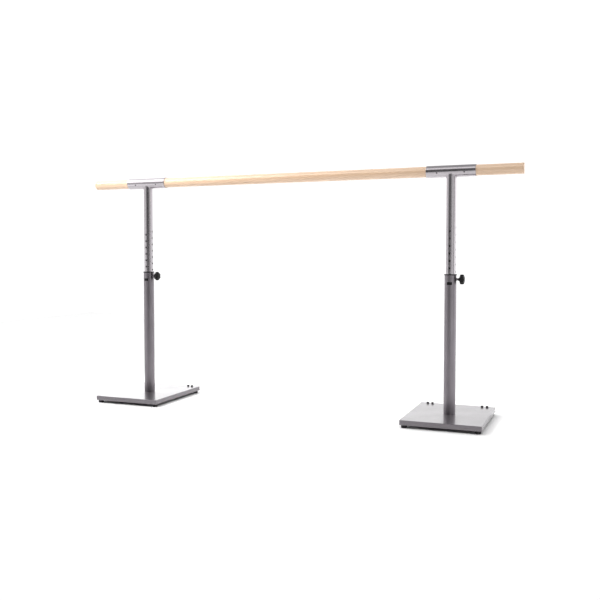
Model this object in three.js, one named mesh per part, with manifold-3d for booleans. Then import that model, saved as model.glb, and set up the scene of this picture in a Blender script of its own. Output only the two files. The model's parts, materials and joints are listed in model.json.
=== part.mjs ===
// A free-standing, height-adjustable portable ballet barre.
//
// One round wooden rail lies in two welded tube sleeves. Each sleeve tops a telescopic
// steel post on a heavy base plate. A sprung index plunger on each outer post locks the
// height, and two small wheels behind each plate let a tilted stand be rolled away.
//
// Millimetres, +Z up. X runs along the rail, and the front of the barre faces -Y.
// The origin is on the floor, under the middle of the whole object's box.

import * as THREE from 'three';
import { mergeVertices } from 'three/addons/utils/BufferGeometryUtils.js';
import Module from 'manifold-3d';

const wasm = await Module();
wasm.setup();

// ---------------------------------------------------------------- driving dimensions

const RAIL = { length: 2000, radius: 22, axisHeight: 1018, endRound: 2 };
const STAND_SPACING = 1430;

const PLATE = { width: 320, depth: 400, thickness: 20, corner: 3, edge: 1 };
const FOOT = { radius: 12, height: 12, inset: 16, round: 3, edge: 0.5, pegRadius: 4, pegLength: 9 };

const LOWER_POST = { outer: 24, inner: 22 };
const UPPER_POST = { outer: 21, inner: 19, belowLowestHole: 60 };
const COLLAR = { top: 602, flange: 4, radius: 26, edge: 1, skirt: 44 };
const TAB = { width: 20.6, height: 11.6, centreHeight: 564.5, sunk: 0.3 };

const HOLE = { radius: 3.5, pitch: 30, abovePin: 7, belowPin: 4, facets: 8 };
const SLEEVE = { outer: 24.5, inner: 22.4, length: 200, edge: 0.4 };
const GRUB = {
  radius: 3, depth: 3, tip: 0.8, edge: 0.4, hex: 1.5, hexDepth: 1.8, angle: -18, places: [-55, 55],
};

const PIN = {
  height: 581, radius: 2.5, rest: 21.3, point: 1.5, pointRadius: 1.5, end: 52, flangeAt: 27.6, flange: 1.4,
};
const BOSS = { radius: 5.5, inside: 20, face: 27.8 };
const BARREL = { radius: 4.5, bore: 3.6, end: 40, endWall: 2 };
const SPRING = { wire: 0.35, radius: 3.1, turns: 5, stepsPerTurn: 8 };
const KNOB = {
  neckStart: 31.5, neckRadius: 5.8, neckTopRadius: 9, headStart: 38.5, rim: 50, headEnd: 57, radius: 20,
  backRound: 4, crownRadius: 5, lobes: 6, scallop: 6.5, scallopOut: 2.6, barrelSpace: 6,
};

const WHEEL = { radius: 13.5, width: 11, axleHeight: 14.5, edge: 1.5, gap: 5, sideGap: 0.8, facets: 18 };
const AXLE = { radius: 3, headRadius: 4.5, headLength: 1.5, edge: 0.8 };
const BRACKET = {
  fromCentre: 116.5, width: 29, thickness: 3, length: 40, backInset: 3,
  armReach: 16, armTop: 21, armBottom: 9, pastAxle: 6, corner: 3,
};
const BOLT = {
  radius: 3, headRadius: 5.5, headHeight: 6.5, headRound: 1, hex: 2.6, hexDepth: 3,
  tip: 0.6, belowBracket: 1, spacing: 21, backInset: 20,
};

const PLUG = { length: 30 };
const SCREW = {
  radius: 6, headRadius: 11, headDepth: 6.5, sunk: 1, edge: 1, hex: 5.5, hexDepth: 3, shortOfPlug: 4,
};
const GLIDE = { lip: 6, plug: 20, edge: 1 };

const PRESSED = 0.05; // radial gap of a fit that doesn't move
const SLIDING = 0.1; // radial gap of a fit that slides or turns
const CLEAR = 0.3; // gap round a fastener in its hole
const OVER = 1; // how far a cutting tool runs past the face that it opens
const ROUND = 24; // facets round a tube
const SMALL = 10; // facets round a screw, pin or axle

// ---------------------------------------------------------------- derived dimensions

const plateTop = FOOT.height + PLATE.thickness;
const plateBack = PLATE.depth / 2;
const standHalf = STAND_SPACING / 2;
const wheelY = plateBack + WHEEL.gap + WHEEL.radius;
const backReach = wheelY + WHEEL.radius;
const originY = (backReach - plateBack) / 2;

const collarSeat = COLLAR.top - COLLAR.flange;
const lowestHole = PIN.height - (HOLE.belowPin + 0.5) * HOLE.pitch;
const upperPostFoot = lowestHole - UPPER_POST.belowLowestHole;

// ---------------------------------------------------------------- materials

const satinSteel = { color: 0x8b898c, roughness: 0.38, metalness: 1 };
const polishedSteel = { color: 0xa5a3a5, roughness: 0.2, metalness: 1 };
const silverPaint = { color: 0x9d9b9e, roughness: 0.3, metalness: 0.7 };
const zincSteel = { color: 0x9a9a98, roughness: 0.45, metalness: 1 };
const springSteel = { color: 0x8d8d8a, roughness: 0.35, metalness: 1 };
const blackSteel = { color: 0x1d1c1e, roughness: 0.5, metalness: 0.8 };
const blackPlastic = { color: 0x141315, roughness: 0.45, metalness: 0 };
const blackRubber = { color: 0x0d0d0d, roughness: 0.85, metalness: 0 };
const greyRubber = { color: 0x3a3a3c, roughness: 0.8, metalness: 0 };
const beech = { color: 0xe2bf92, roughness: 0.5, metalness: 0 };

// ---------------------------------------------------------------- solids and booleans

/** Welds a geometry's corners, drops empty triangles and makes its faces point out. */
function closed(geometry) {
  const bare = new THREE.BufferGeometry();
  const loose = geometry.index ? geometry.toNonIndexed() : geometry;
  bare.setAttribute('position', loose.getAttribute('position').clone());
  const welded = mergeVertices(bare, 1e-3);
  const point = (i) => new THREE.Vector3().fromBufferAttribute(welded.attributes.position, i);
  const kept = [];
  let volume = 0;
  for (let t = 0; t < welded.index.count; t += 3) {
    const [a, b, c] = [0, 1, 2].map((k) => welded.index.getX(t + k));
    if (a === b || b === c || c === a) continue;
    kept.push(a, b, c);
    volume += point(a).dot(point(b).cross(point(c)));
  }
  if (volume < 0) kept.reverse();
  welded.setIndex(kept);
  return welded;
}

function toSolid(geometry) {
  const welded = closed(geometry);
  const mesh = new wasm.Mesh({
    numProp: 3,
    vertProperties: welded.attributes.position.array,
    triVerts: new Uint32Array(welded.index.array),
  });
  return new wasm.Manifold(mesh);
}

function toGeometry(solid) {
  const mesh = solid.getMesh();
  const geometry = new THREE.BufferGeometry();
  geometry.setAttribute('position', new THREE.BufferAttribute(mesh.vertProperties, 3));
  geometry.setIndex(new THREE.BufferAttribute(mesh.triVerts, 1));
  return geometry;
}

/** The first geometry with all the others cut out of it. */
function cut(geometry, ...tools) {
  return toGeometry(tools.reduce((solid, tool) => solid.subtract(toSolid(tool)), toSolid(geometry)));
}

/** What two geometries have in common. */
function common(a, b) {
  return toGeometry(toSolid(a).intersect(toSolid(b)));
}

/** All the geometries as one solid. */
function join(...geometries) {
  return toGeometry(geometries.map(toSolid).reduce((all, next) => all.add(next)));
}

// ---------------------------------------------------------------- basic shapes

/** A closed outline of [radius, height] points turned round +Z. */
function turned(outline, facets = ROUND) {
  const points = [...outline, outline[0]].map(([r, z]) => new THREE.Vector2(r, z));
  const geometry = new THREE.LatheGeometry(points, facets);
  return closed(geometry.rotateX(Math.PI / 2));
}

function disc(radius, bottom, top, facets = ROUND) {
  return turned([[0, bottom], [radius, bottom], [radius, top], [0, top]], facets);
}

function ring(inner, outer, bottom, top, facets = ROUND) {
  return turned([[inner, bottom], [outer, bottom], [outer, top], [inner, top]], facets);
}

function hexPrism(cornerRadius, bottom, top) {
  return disc(cornerRadius, bottom, top, 6);
}

/** Points of an arc round [r, z], from one angle to another in degrees. */
function arc(r, z, radius, from, to, steps = 2) {
  const points = [];
  for (let i = 0; i <= steps; i += 1) {
    const angle = THREE.MathUtils.degToRad(from + ((to - from) * i) / steps);
    points.push([r + radius * Math.cos(angle), z + radius * Math.sin(angle)]);
  }
  return points;
}

/** An outline below height 0, carried on above it as its own mirror image. */
function mirrored(outline) {
  return [...outline, ...outline.map(([r, z]) => [r, -z]).reverse()];
}

/** Turns a shape made round +Z so that its +Z points along +X. */
function alongX(geometry) {
  return geometry.rotateY(Math.PI / 2);
}

function box(x0, x1, y0, y1, z0, z1) {
  const geometry = new THREE.BoxGeometry(x1 - x0, y1 - y0, z1 - z0);
  return geometry.translate((x0 + x1) / 2, (y0 + y1) / 2, (z0 + z1) / 2);
}

/** A flat outline of [y, z] points, extruded along X from x0 to x1. */
function slabAlongX(outline, x0, x1) {
  const shape = new THREE.Shape(outline.map(([y, z]) => new THREE.Vector2(y, z)));
  const geometry = new THREE.ExtrudeGeometry(shape, { depth: x1 - x0, bevelEnabled: false });
  const turn = new THREE.Matrix4().makeBasis(
    new THREE.Vector3(0, 1, 0),
    new THREE.Vector3(0, 0, 1),
    new THREE.Vector3(1, 0, 0),
  );
  return geometry.applyMatrix4(turn).translate(x0, 0, 0);
}

function roundedRectangle(width, depth, radius) {
  const [x, y] = [width / 2, depth / 2];
  const shape = new THREE.Shape();
  shape.absarc(x - radius, y - radius, radius, 0, Math.PI / 2);
  shape.absarc(radius - x, y - radius, radius, Math.PI / 2, Math.PI);
  shape.absarc(radius - x, radius - y, radius, Math.PI, Math.PI * 1.5);
  shape.absarc(x - radius, radius - y, radius, Math.PI * 1.5, Math.PI * 2);
  return shape;
}

// ---------------------------------------------------------------- base

const sides = [{ side: 'left', x: -1 }, { side: 'right', x: 1 }];
const ends = [{ end: 'front', y: -1 }, { end: 'back', y: 1 }];

const feet = sides.flatMap(({ side, x }) => ends.map(({ end, y }) => ({
  name: 'foot_' + end + '_' + side,
  x: x * (PLATE.width / 2 - FOOT.inset),
  y: y * (plateBack - FOOT.inset),
})));

const boltY = plateBack - BOLT.backInset;
const bolts = sides.flatMap(({ side, x }) => [
  { name: 'bracket_bolt_' + side + '_outer', x: x * (BRACKET.fromCentre + BOLT.spacing / 2) },
  { name: 'bracket_bolt_' + side + '_inner', x: x * (BRACKET.fromCentre - BOLT.spacing / 2) },
]);

function basePlate() {
  const { width, depth, thickness, corner, edge } = PLATE;
  const slab = new THREE.ExtrudeGeometry(roundedRectangle(width - 2 * edge, depth - 2 * edge, corner), {
    depth: thickness - 2 * edge,
    bevelThickness: edge,
    bevelSize: edge,
    bevelSegments: 1,
    curveSegments: 3,
  });
  slab.translate(0, 0, FOOT.height + edge);
  const under = FOOT.height - OVER;
  const over = plateTop + OVER;
  const pegTop = FOOT.height + FOOT.pegLength + CLEAR;
  const headTop = FOOT.height + SCREW.sunk + SCREW.headDepth;
  const boltHole = disc(BOLT.radius + CLEAR, under, over, SMALL);
  const boltHoles = bolts.map(({ x }) => boltHole.clone().translate(x, boltY, 0));
  const pegHole = disc(FOOT.pegRadius + CLEAR, under, pegTop, SMALL);
  const pegHoles = feet.map(({ x, y }) => pegHole.clone().translate(x, y, 0));
  const screwHole = disc(SCREW.radius + CLEAR, under, over, SMALL);
  const headHole = disc(SCREW.headRadius + 2 * CLEAR, under, headTop, SMALL);
  return cut(slab, ...boltHoles, ...pegHoles, screwHole, headHole);
}

/** Rubber foot with a peg that is pressed into the plate. */
function foot() {
  const { radius, height, round, edge, pegRadius, pegLength } = FOOT;
  return turned([
    [0, 0], ...arc(radius - round, round, round, -90, 0),
    [radius, height - edge], [radius - edge, height], [pegRadius, height],
    [pegRadius, height + pegLength], [0, height + pegLength],
  ], SMALL);
}

/** Cap-head bolt. Its head sits on z = 0. */
function bolt() {
  const { radius, headRadius, headHeight, headRound } = BOLT;
  const end = -PLATE.thickness - BRACKET.thickness - BOLT.belowBracket;
  const body = turned([
    [0, end], [radius - BOLT.tip, end], [radius, end + BOLT.tip], [radius, 0], [headRadius, 0],
    ...arc(headRadius - headRound, headHeight - headRound, headRound, 0, 90), [0, headHeight],
  ], SMALL);
  return cut(body, hexPrism(BOLT.hex, headHeight - BOLT.hexDepth, headHeight + OVER));
}

const cheekInner = WHEEL.width / 2 + WHEEL.sideGap;
const cheekOuter = cheekInner + BRACKET.thickness;

/** Bent steel bracket under the plate's back edge, with two cheeks for the wheel's axle. */
function wheelBracket() {
  const { width, thickness, length, backInset, armReach, armTop, armBottom, pastAxle, corner } = BRACKET;
  const half = width / 2;
  const top = FOOT.height;
  const bottom = top - thickness;
  const strap = box(-half, half, plateBack - length, plateBack - backInset, bottom, top);
  const armStart = plateBack - armReach;
  const armEnd = wheelY + pastAxle;
  const step = plateBack + OVER;
  const cheek = [
    [armStart, armBottom], [armEnd - corner, armBottom], [armEnd, armBottom + corner],
    [armEnd, armTop - corner], [armEnd - corner, armTop], [step, armTop], [step, top], [armStart, top],
  ];
  const leftCheek = slabAlongX(cheek, -cheekOuter, -cheekInner);
  const rightCheek = slabAlongX(cheek, cheekInner, cheekOuter);
  const axleHole = alongX(disc(AXLE.radius + PRESSED, -half - OVER, half + OVER, SMALL));
  axleHole.translate(0, wheelY, WHEEL.axleHeight);
  const boltHoles = sides.map(({ x }) => {
    const hole = disc(BOLT.radius + SLIDING, bottom - OVER, top + OVER, SMALL);
    return hole.translate((x * BOLT.spacing) / 2, boltY, 0);
  });
  return cut(join(strap, leftCheek, rightCheek), axleHole, ...boltHoles);
}

function wheel() {
  const { radius, edge, facets } = WHEEL;
  const half = WHEEL.width / 2;
  const bore = AXLE.radius + SLIDING;
  return alongX(turned(mirrored([[bore, -half], [radius - edge, -half], [radius, -half + edge]]), facets));
}

function axle() {
  const { radius, headRadius, headLength, edge } = AXLE;
  const seat = -cheekOuter - CLEAR;
  const end = seat - headLength;
  return alongX(turned(mirrored([
    [0, end], [headRadius - edge, end], [headRadius, end + edge], [headRadius, seat], [radius, seat],
  ]), SMALL));
}

// ---------------------------------------------------------------- lower post

/** A block in front of the post's axis, as wide and high as the collar's tab plus a gap all round. */
function tabBlock(gap, front, back) {
  const halfWide = TAB.width / 2 + gap;
  const halfHigh = TAB.height / 2 + gap;
  return box(-halfWide, halfWide, front, back, -halfHigh, halfHigh).translate(0, 0, TAB.centreHeight);
}

/** Outer tube, with the collar tab's window in front and the plunger's hole at the side. */
function lowerPost() {
  const { outer, inner } = LOWER_POST;
  const tube = ring(inner, outer, plateTop, collarSeat);
  const window = tabBlock(SLIDING, -outer - OVER, -inner / 2);
  const pinOpening = alongX(disc(BARREL.bore, inner / 2, outer + OVER, SMALL));
  return cut(tube, window, pinOpening.translate(0, 0, PIN.height));
}

/** Steel plug in the outer tube's foot, pulled down on the plate by the post's screw. */
function postPlug() {
  const top = plateTop + PLUG.length;
  const bore = disc(SCREW.radius + SLIDING, plateTop - OVER, top + OVER, SMALL);
  return cut(disc(LOWER_POST.inner - PRESSED, plateTop, top), bore);
}

function postScrew() {
  const { radius, headRadius, headDepth, sunk, edge, hex, hexDepth, shortOfPlug } = SCREW;
  const headBottom = FOOT.height + sunk;
  const headTop = headBottom + headDepth;
  const tip = plateTop + PLUG.length - shortOfPlug;
  const body = turned([
    [0, headBottom], [headRadius - edge, headBottom], [headRadius, headBottom + edge],
    [headRadius, headTop], [radius, headTop], [radius, tip - edge], [radius - edge, tip], [0, tip],
  ], SMALL);
  return cut(body, hexPrism(hex, headBottom - OVER, headBottom + hexDepth));
}

/**
 * Plastic bush that closes the top of the outer tube and guides the inner one. A tab on its
 * skirt snaps into the outer tube's window, flush with the tube.
 */
function collar() {
  const { top, radius, edge } = COLLAR;
  const bore = UPPER_POST.outer + SLIDING;
  const skirt = LOWER_POST.inner - PRESSED;
  const skirtEnd = collarSeat - COLLAR.skirt;
  const bush = turned([
    [bore, skirtEnd], [skirt, skirtEnd], [skirt, collarSeat],
    [radius, collarSeat], [radius, top - edge], [radius - edge, top], [bore, top],
  ]);
  const flush = ring((bore + skirt) / 2, LOWER_POST.outer - TAB.sunk, skirtEnd, collarSeat);
  const tab = common(flush, tabBlock(0, -LOWER_POST.outer, -bore / 2));
  const pinWay = alongX(disc(PIN.radius + CLEAR, bore / 2, skirt + OVER, SMALL));
  return cut(join(bush, tab), pinWay.translate(0, 0, PIN.height));
}

// ---------------------------------------------------------------- plunger

/** Round boss on the post's side, with the barrel that guides the pin and holds its spring. */
function plungerHousing() {
  const { radius, inside, face } = BOSS;
  const atPin = (size, start, end) => alongX(disc(size, start, end, SMALL)).translate(0, 0, PIN.height);
  const [below, above] = [PIN.height - radius - OVER, PIN.height + radius + OVER];
  const postSpace = disc(LOWER_POST.outer + PRESSED, below, above);
  const boss = cut(atPin(radius, inside, face), postSpace);
  const barrel = atPin(BARREL.radius, face - OVER, BARREL.end);
  const springSpace = atPin(BARREL.bore, inside, BARREL.end - BARREL.endWall);
  const pinWay = atPin(PIN.radius + SLIDING, face, BARREL.end + OVER);
  return cut(join(boss, barrel), springSpace, pinWay);
}

/** Index pin. A flange on it takes the spring's push. */
function plungerPin() {
  const { radius, rest, point, pointRadius, end, flangeAt } = PIN;
  const flangeRadius = BARREL.bore - SLIDING;
  const flangeEnd = flangeAt + PIN.flange;
  return alongX(turned([
    [0, rest], [pointRadius, rest], [radius, rest + point], [radius, flangeAt],
    [flangeRadius, flangeAt], [flangeRadius, flangeEnd], [radius, flangeEnd], [radius, end], [0, end],
  ], SMALL));
}

/** Coil spring between the pin's flange and the barrel's end wall. */
function plungerSpring() {
  const { wire, radius, turns, stepsPerTurn } = SPRING;
  const start = PIN.flangeAt + PIN.flange + wire + SLIDING;
  const end = BARREL.end - BARREL.endWall - wire - SLIDING;
  class Helix extends THREE.Curve {
    getPoint(t, target = new THREE.Vector3()) {
      const turn = t * turns * Math.PI * 2;
      return target.set(start + t * (end - start), radius * Math.cos(turn), radius * Math.sin(turn));
    }
  }
  const section = new THREE.Shape();
  section.absarc(0, 0, wire, 0, Math.PI * 2);
  const steps = turns * stepsPerTurn;
  return new THREE.ExtrudeGeometry(section, { extrudePath: new Helix(), steps, curveSegments: 3 });
}

/** Lobed hand knob with a domed face, and a hollow conical neck that covers the barrel. */
function knob() {
  const { neckStart, headStart, rim, headEnd, radius, backRound, crownRadius } = KNOB;
  const dome = arc(0, 0, 1, 0, 90).map(([out, up]) => [
    crownRadius + (radius - crownRadius) * out,
    rim + (headEnd - rim) * up,
  ]);
  const body = turned([
    [0, neckStart], [KNOB.neckRadius, neckStart], [KNOB.neckTopRadius, headStart],
    ...arc(radius - backRound, headStart + backRound, backRound, -90, 0),
    ...dome, [0, headEnd],
  ]);
  const scallop = disc(KNOB.scallop, headStart - OVER, headEnd + OVER, SMALL);
  scallop.translate(radius + KNOB.scallopOut, 0, 0);
  const scallops = [];
  for (let i = 0; i < KNOB.lobes; i += 1) {
    scallops.push(scallop.clone().rotateZ(((i + 0.5) / KNOB.lobes) * Math.PI * 2));
  }
  const barrelSpace = disc(BARREL.radius + CLEAR, neckStart - OVER, BARREL.end + KNOB.barrelSpace, SMALL);
  const pinSeat = disc(PIN.radius + PRESSED, neckStart, PIN.end + PRESSED, SMALL);
  return alongX(cut(body, ...scallops, barrelSpace, pinSeat));
}

// ---------------------------------------------------------------- upper post and sleeve

/** Inner tube with two staggered rows of index holes, coped to the sleeve's underside. */
function upperPost() {
  const { outer, inner } = UPPER_POST;
  const tube = ring(inner, outer, upperPostFoot, RAIL.axisHeight);
  const sleeveSpace = alongX(disc(SLEEVE.outer + PRESSED, -outer * 2, outer * 2));
  sleeveSpace.translate(0, 0, RAIL.axisHeight);
  const holes = [];
  for (let step = -HOLE.belowPin; step <= HOLE.abovePin; step += 1) {
    const height = PIN.height + step * HOLE.pitch;
    const drill = disc(HOLE.radius, inner / 2, outer + OVER, HOLE.facets);
    holes.push(alongX(drill.clone()).translate(0, 0, height));
    holes.push(drill.rotateX(Math.PI / 2).translate(0, 0, height - HOLE.pitch / 2));
  }
  return cut(tube, sleeveSpace, ...holes);
}

/** Plastic plug in the inner tube's foot, which slides in the outer tube. */
function postGlide() {
  const { lip, plug, edge } = GLIDE;
  const guideRadius = LOWER_POST.inner - SLIDING;
  const plugRadius = UPPER_POST.inner - PRESSED;
  const bottom = upperPostFoot - lip;
  return turned([
    [0, bottom], [guideRadius - edge, bottom], [guideRadius, bottom + edge], [guideRadius, upperPostFoot],
    [plugRadius, upperPostFoot], [plugRadius, upperPostFoot + plug], [0, upperPostFoot + plug],
  ]);
}

/** A geometry made round +Z, laid across the rail's axis at x along the grub screws' direction. */
function atGrub(geometry, x) {
  const angle = THREE.MathUtils.degToRad(GRUB.angle);
  const direction = new THREE.Vector3(0, -Math.cos(angle), Math.sin(angle));
  const turn = new THREE.Quaternion().setFromUnitVectors(new THREE.Vector3(0, 0, 1), direction);
  return geometry.applyQuaternion(turn).translate(x, 0, RAIL.axisHeight);
}

function sleeve() {
  const { outer, inner, length, edge } = SLEEVE;
  const half = length / 2;
  const tube = alongX(turned(mirrored([[inner, -half], [outer - edge, -half], [outer, -half + edge]])));
  tube.translate(0, 0, RAIL.axisHeight);
  const hole = disc(GRUB.radius + PRESSED, inner / 2, outer + OVER, SMALL);
  const holes = GRUB.places.map((x) => atGrub(hole.clone(), x));
  return cut(tube, ...holes);
}

function grubScrew() {
  const { radius, depth, tip, edge, hex, hexDepth } = GRUB;
  const start = RAIL.radius + SLIDING;
  const head = start + depth;
  const body = turned([
    [0, start], [radius - tip, start], [radius, start + tip],
    [radius, head - edge], [radius - edge, head], [0, head],
  ], SMALL);
  return cut(body, hexPrism(hex, head - hexDepth, head + OVER));
}

function rail() {
  const { length, radius, endRound } = RAIL;
  const half = length / 2;
  const end = [[0, -half], ...arc(radius - endRound, -half + endRound, endRound, -90, 0)];
  return alongX(turned(mirrored(end))).translate(0, 0, RAIL.axisHeight);
}

// ---------------------------------------------------------------- assembly

function piece(name, geometry, finish) {
  const mesh = new THREE.Mesh(geometry, new THREE.MeshStandardMaterial(finish));
  mesh.geometry.computeVertexNormals();
  mesh.name = name;
  return mesh;
}

function placed(mesh, x, y, z) {
  mesh.position.set(x, y, z);
  return mesh;
}

/** One stand, standing at its own origin. Every node's name starts with the stand's side. */
function stand(prefix) {
  const group = new THREE.Group();
  const add = (name, geometry, finish, place = [0, 0, 0]) => {
    group.add(placed(piece(prefix + name, geometry, finish), ...place));
  };
  const pinPlace = [0, 0, PIN.height];
  add('base_plate', basePlate(), silverPaint);
  for (const { name, x, y } of feet) add(name, foot(), blackRubber, [x, y, 0]);
  for (const { name, x } of bolts) add(name, bolt(), blackSteel, [x, boltY, plateTop]);
  for (const { side, x } of sides) {
    const wheelPlace = [x * BRACKET.fromCentre, wheelY, WHEEL.axleHeight];
    add('wheel_bracket_' + side, wheelBracket(), zincSteel, [x * BRACKET.fromCentre, 0, 0]);
    add('wheel_axle_' + side, axle(), zincSteel, wheelPlace);
    add('wheel_' + side, wheel(), greyRubber, wheelPlace);
  }
  add('lower_post', lowerPost(), satinSteel);
  add('post_plug', postPlug(), zincSteel);
  add('post_screw', postScrew(), zincSteel);
  add('collar_bush', collar(), blackPlastic);
  add('plunger_housing', plungerHousing(), satinSteel);
  add('plunger_pin', plungerPin(), zincSteel, pinPlace);
  add('plunger_spring', plungerSpring(), springSteel, pinPlace);
  add('plunger_knob', knob(), blackPlastic, pinPlace);
  add('upper_post', upperPost(), polishedSteel);
  add('post_glide', postGlide(), blackPlastic);
  add('rail_sleeve', sleeve(), polishedSteel);
  GRUB.places.forEach((x, i) => add('grub_screw_' + (i + 1), atGrub(grubScrew(), x), blackSteel));
  return group;
}

const barre = new THREE.Group();
barre.add(placed(stand('left_'), -standHalf, -originY, 0));
barre.add(placed(stand('right_'), standHalf, -originY, 0));
barre.add(placed(piece('rail', rail(), beech), 0, -originY, 0));

export default barre;
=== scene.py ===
"""A free-standing, height-adjustable ballet barre in a plain white photo studio.

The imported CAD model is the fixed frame. Every piece here but the weld beads takes its place and size
from its CAD node's box, stands for that node, and adds the rounding and detail that the CAD leaves out.
Shapes are drawn in millimetres round their own origin, and places are in metres.
"""

import json
import math

import bmesh
import bpy
from mathutils import Matrix, Vector


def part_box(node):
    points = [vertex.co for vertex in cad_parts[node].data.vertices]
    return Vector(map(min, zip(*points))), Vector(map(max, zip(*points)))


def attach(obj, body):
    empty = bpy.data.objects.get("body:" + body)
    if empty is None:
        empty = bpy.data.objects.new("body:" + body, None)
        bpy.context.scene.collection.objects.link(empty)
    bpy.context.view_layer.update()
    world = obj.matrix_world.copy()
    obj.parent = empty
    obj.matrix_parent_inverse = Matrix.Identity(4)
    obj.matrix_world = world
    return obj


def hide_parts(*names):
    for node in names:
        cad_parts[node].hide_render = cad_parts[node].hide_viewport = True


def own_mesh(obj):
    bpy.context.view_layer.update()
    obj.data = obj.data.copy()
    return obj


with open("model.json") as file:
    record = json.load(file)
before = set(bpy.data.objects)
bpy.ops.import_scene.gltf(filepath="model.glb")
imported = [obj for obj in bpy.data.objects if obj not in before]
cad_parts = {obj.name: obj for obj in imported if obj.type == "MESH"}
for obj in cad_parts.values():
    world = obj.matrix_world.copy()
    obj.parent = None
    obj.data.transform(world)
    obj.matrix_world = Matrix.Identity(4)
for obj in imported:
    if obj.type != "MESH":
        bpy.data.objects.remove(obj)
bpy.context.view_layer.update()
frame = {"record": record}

MM = 0.001
SIDES = ("left_", "right_")
ALONG_X = Matrix.Rotation(math.radians(90), 4, "Y")
UPRIGHT = Matrix.Identity(4)
BODY_OF = {node: body for body, nodes in frame["record"]["behaviour"]["bodies"].items() for node in nodes}


# ---------------------------------------------------------------- camera

# Fitted to the photograph: a place in metres, a lens in millimetres and a shift in picture widths.
CAMERA_PLACE = (1.2833, -3.1095, 0.6732)
CAMERA_AZIMUTH = math.radians(21.61)
CAMERA_ELEVATION = math.radians(2.52)
CAMERA_LENS = 45.6
CAMERA_SHIFT_Y = -0.0166


def make_camera():
    data = bpy.data.cameras.new("camera")
    data.lens = CAMERA_LENS
    data.shift_y = CAMERA_SHIFT_Y
    data.clip_start, data.clip_end = 0.05, 100
    camera = bpy.data.objects.new("camera", data)
    flat = math.cos(CAMERA_ELEVATION)
    back = Vector((
        math.sin(CAMERA_AZIMUTH) * flat,
        -math.cos(CAMERA_AZIMUTH) * flat,
        math.sin(CAMERA_ELEVATION),
    ))
    camera.location = CAMERA_PLACE
    camera.rotation_euler = (-back).to_track_quat("-Z", "Y").to_euler()
    bpy.context.scene.collection.objects.link(camera)
    bpy.context.scene.camera = camera


# ---------------------------------------------------------------- places and sizes from the CAD


def stand_origin(side):
    """The point on the floor under a stand's posts."""
    low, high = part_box(side + "lower_post")
    return Vector(((low.x + high.x) / 2, (low.y + high.y) / 2, 0))


def on_stand(node):
    """The box of a stand's node in millimetres from the stand's origin, measured on the left stand."""
    low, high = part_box("left_" + node)
    origin = stand_origin("left_")
    return (low - origin) / MM, (high - origin) / MM


def middle_of(node):
    """The centre of a node's box, in metres."""
    low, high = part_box(node)
    return (low + high) / 2


# ---------------------------------------------------------------- outlines and solids


def arc(r, h, radius, start, end, steps=6):
    """Points of an arc round (r, h), from one angle to another in degrees."""
    angles = [math.radians(start + (end - start) * k / steps) for k in range(steps + 1)]
    return [(r + radius * math.cos(a), h + radius * math.sin(a)) for a in angles]


def softened(outline, radius, steps=3):
    """An outline of (radius, height) with its corners rounded. Points on the axis stay."""
    points = [Vector(p) for p in outline]
    solid = points[0].x == 0
    soft = []
    for i, corner in enumerate(points):
        if solid and i in (0, len(points) - 1):
            soft.append(corner)
            continue
        to_last = points[i - 1] - corner
        to_next = points[(i + 1) % len(points)] - corner
        reach = min(radius, 0.45 * to_last.length, 0.45 * to_next.length)
        start = corner + to_last.normalized() * reach
        end = corner + to_next.normalized() * reach
        for k in range(steps + 1):
            t = k / steps
            soft.append(start.lerp(corner, t).lerp(corner.lerp(end, t), t))
    return soft


def turned(outline, segments=96, reach=None):
    """A closed outline of (radius, height) turned round Z. reach(turn, r, h) can vary the radius."""
    bm = bmesh.new()
    rows = []
    for r, h in outline:
        if r == 0:
            rows.append([bm.verts.new((0, 0, h))] * segments)
            continue
        row = []
        for k in range(segments):
            turn = 2 * math.pi * k / segments
            out = reach(turn, r, h) if reach else r
            row.append(bm.verts.new((out * math.cos(turn), out * math.sin(turn), h)))
        rows.append(row)
    pairs = list(zip(rows, rows[1:]))
    if outline[0][0] > 0:
        pairs.append((rows[-1], rows[0]))
    for low, high in pairs:
        for k in range(segments):
            nxt = (k + 1) % segments
            corners = list(dict.fromkeys((low[k], low[nxt], high[nxt], high[k])))
            if len(corners) > 2:
                bm.faces.new(corners)
    bmesh.ops.recalc_face_normals(bm, faces=bm.faces)
    return bm


def mirrored_ends(outline):
    """An outline of (radius, height) points up to its middle, with its mirror image after it."""
    return [*outline, *[(r, -h) for r, h in reversed(outline)]]


def tube(inner, outer, bottom, top, edge, segments):
    """A tube on Z with rounded rims."""
    corners = [(inner, bottom), (outer, bottom), (outer, top), (inner, top)]
    return turned(softened(corners, edge), segments)


def rod(radius, bottom, top, segments=48):
    return turned([(0, bottom), (radius, bottom), (radius, top), (0, top)], segments)


def lofted(rings):
    """A closed solid through rings of points, with a flat cap at each end."""
    bm = bmesh.new()
    rows = [[bm.verts.new(p) for p in ring] for ring in rings]
    for low, high in zip(rows, rows[1:]):
        for k in range(len(low)):
            nxt = (k + 1) % len(low)
            bm.faces.new((low[k], low[nxt], high[nxt], high[k]))
    bm.faces.new(rows[0][::-1])
    bm.faces.new(rows[-1])
    bmesh.ops.recalc_face_normals(bm, faces=bm.faces)
    return bm


def block(low, high):
    (x0, y0, z0), (x1, y1, z1) = low, high
    ring = [(x0, y0), (x1, y0), (x1, y1), (x0, y1)]
    return lofted([[(x, y, z0) for x, y in ring], [(x, y, z1) for x, y in ring]])


def prism(outline, start, end):
    """A flat outline of (y, z) points, extruded along X."""
    return lofted([[(x, y, z) for y, z in outline] for x in (start, end)])


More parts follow.
